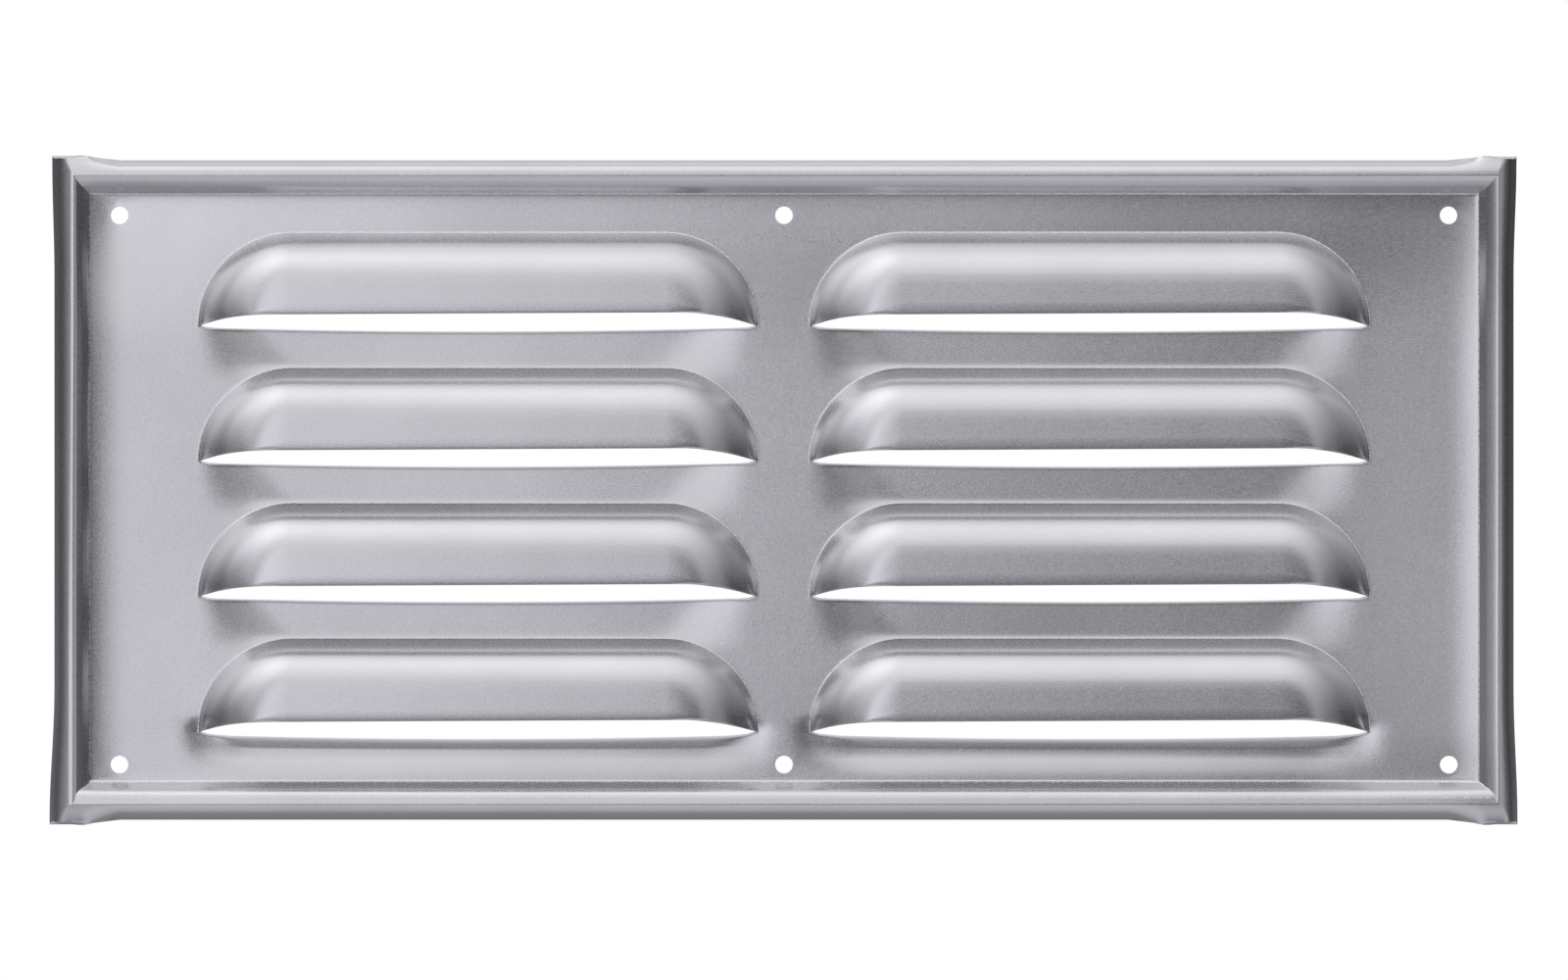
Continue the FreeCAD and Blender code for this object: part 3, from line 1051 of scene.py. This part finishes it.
# The floor fades out at its edge, so no rim of it stands out against the white
def makeFloor():
    mesh = bpy.data.meshes.new("floor")
    radius = studio["floorRadius"]
    turns = np.linspace(0, 2 * math.pi, studio["floorStations"], endpoint=False)
    ring = [(math.cos(t) * radius, math.sin(t) * radius, studio["floorHeight"]) for t in turns]
    mesh.from_pydata(ring, [], [list(range(len(ring)))])
    material, tree = newMaterial("paleFloor")
    shader = tree.nodes["Principled BSDF"]
    shader.inputs["Base Color"].default_value = studio["floorColor"]
    shader.inputs["Roughness"].default_value = studio["floorRoughness"]
    place = addNode(tree, "ShaderNodeTexCoord").outputs["Object"]
    level = addVectorMath(tree, "MULTIPLY", place, (1, 1, 0))
    far = addVectorMath(tree, "LENGTH", level, output="Value")
    cover = addRange(tree, far, *[radius * share for share in studio["floorFade"]], 1.0, 0.0)
    tree.links.new(cover, shader.inputs["Alpha"])
    mesh.materials.append(material)
    floor = addObject("floor", mesh)
    floor.visible_glossy = False


# A ramp's grey value at a place from 0 to 1
def addRamp(tree, value, stops):
    node = addNode(tree, "ShaderNodeValToRGB", {"Fac": value})
    elements = node.color_ramp.elements
    while len(elements) < len(stops):
        elements.new(0.5)
    for element, (place, strength) in zip(elements, stops):
        element.position = place
    for element, (place, strength) in zip(elements, stops):
        element.color = (strength, strength, strength, 1)
    return node.outputs["Color"]


# The tent's brightness to each side of the panel, by the angle away from the camera
def tentShades(tree, height, away):
    shades = {}
    for side in ("right", "left", "up", "down"):
        stops = [(degrees / 180, value) for degrees, value in studio[side]]
        shades[side] = addRamp(tree, away, stops)
    low = addRange(tree, height, *studio["farGainRun"], *studio["farGain"])
    far = addMath(tree, "MULTIPLY", low, addRange(tree, away, *studio["farGainFrom"]))
    for side, (upper, lower) in zip(("left", "right"), studio["lowerGain"]):
        gain = addRange(tree, height, *studio["lowerGainRun"], lower, upper)
        gain = addMath(tree, "MULTIPLY", gain, addMath(tree, "ADD", 1.0, far))
        shades[side] = addMath(tree, "MULTIPLY", shades[side], gain)
    return shades


# The soft card behind the panel
def backCard(tree, parts):
    aslant = addMath(
        tree, "MULTIPLY",
        addRange(tree, addMath(tree, "ABSOLUTE", parts["Z"]), *studio["aslantUp"]),
        addRange(tree, addMath(tree, "ABSOLUTE", parts["X"]), *studio["aslantAcross"]),
    )
    behind = addMath(tree, "MAXIMUM", aslant, addRange(tree, parts["Y"], *studio["backMiddle"]))
    behind = addMath(tree, "MULTIPLY", behind, addRange(tree, parts["Y"], *studio["backFrom"]))
    return addMath(tree, "MULTIPLY", behind, studio["backGlow"])


# The bright key light, round one place in the tent
def keyLight(tree, way):
    middle = Vector(studio["keyPlace"]).normalized()
    near = addVectorMath(tree, "DOT_PRODUCT", way, middle, output="Value")
    edge = math.cos(math.radians(studio["keySpread"]))
    return addRange(tree, near, edge, 1.0, 0.0, studio["keyStrength"])


def makeTentCards():
    material, tree = newMaterial("tentCards")
    tree.nodes.clear()
    place = addNode(tree, "ShaderNodeTexCoord").outputs["Object"]
    way = addVectorMath(tree, "NORMALIZE", place)
    parts = addNode(tree, "ShaderNodeSeparateXYZ", {0: way}).outputs
    toCamera = addMath(tree, "MULTIPLY", parts["Y"], -1.0)
    away = addMath(tree, "DIVIDE", addMath(tree, "ARCCOSINE", toCamera), math.pi)
    shades = tentShades(tree, parts["Z"], away)

    wide = addMath(tree, "MULTIPLY", parts["X"], parts["X"])
    tall = addMath(tree, "MULTIPLY", parts["Z"], parts["Z"])
    both = addMath(tree, "MAXIMUM", addMath(tree, "ADD", wide, tall), 1e-8)
    upright = addMath(tree, "POWER", addMath(tree, "DIVIDE", tall, both), studio["uprightPower"])
    steep = addRange(tree, addMath(tree, "ABSOLUTE", parts["Z"]), *studio["uprightFrom"])
    upright = addMath(tree, "MULTIPLY", upright, steep)
    toRight = addMath(tree, "GREATER_THAN", parts["X"], -studio["stepShift"])
    above = addMath(tree, "GREATER_THAN", parts["Z"], 0.0)
    level = addRange(tree, toRight, 0.0, 1.0, shades["left"], shades["right"], "LINEAR")
    plumb = addRange(tree, above, 0.0, 1.0, shades["down"], shades["up"], "LINEAR")
    total = addRange(tree, upright, 0.0, 1.0, level, plumb, "LINEAR")
    for light in (keyLight(tree, way), backCard(tree, parts)):
        total = addMath(tree, "ADD", total, light)

    tint = addNode(tree, "ShaderNodeMix", {
        "Factor": addMath(tree, "MULTIPLY", upright, above),
        "A": studio["tint"], "B": studio["upperTint"],
    }, data_type="RGBA")
    cards = addNode(tree, "ShaderNodeEmission", {
        "Color": tint.outputs["Result"], "Strength": total,
    })
    addNode(tree, "ShaderNodeOutputMaterial", {"Surface": cards.outputs[0]})
    material.cycles.emission_sampling = "NONE"
    return material


# Only glossy rays see the tent
def makeTent():
    mesh = bpy.data.meshes.new("lightTent")
    work = bmesh.new()
    bmesh.ops.create_uvsphere(work, u_segments=64, v_segments=32, radius=studio["tentRadius"])
    work.to_mesh(mesh)
    work.free()
    mesh.materials.append(makeTentCards())
    tent = addObject("lightTent", mesh)
    for rays in ("camera", "diffuse", "shadow", "transmission", "volume_scatter"):
        setattr(tent, "visible_" + rays, False)


bpy.context.scene.view_settings.view_transform = "Standard"
makeCamera()
makeWorld()
makeLamp()
makeFloor()
makeTent()
print("studio ready")

louvredSheet = makeSheet(makeAluminium())
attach(louvredSheet, "root")
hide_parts("louvred_panel")
louvredSheet.data.calc_loop_triangles()
print("sheet pressed:", len(louvredSheet.data.loop_triangles), "triangles")
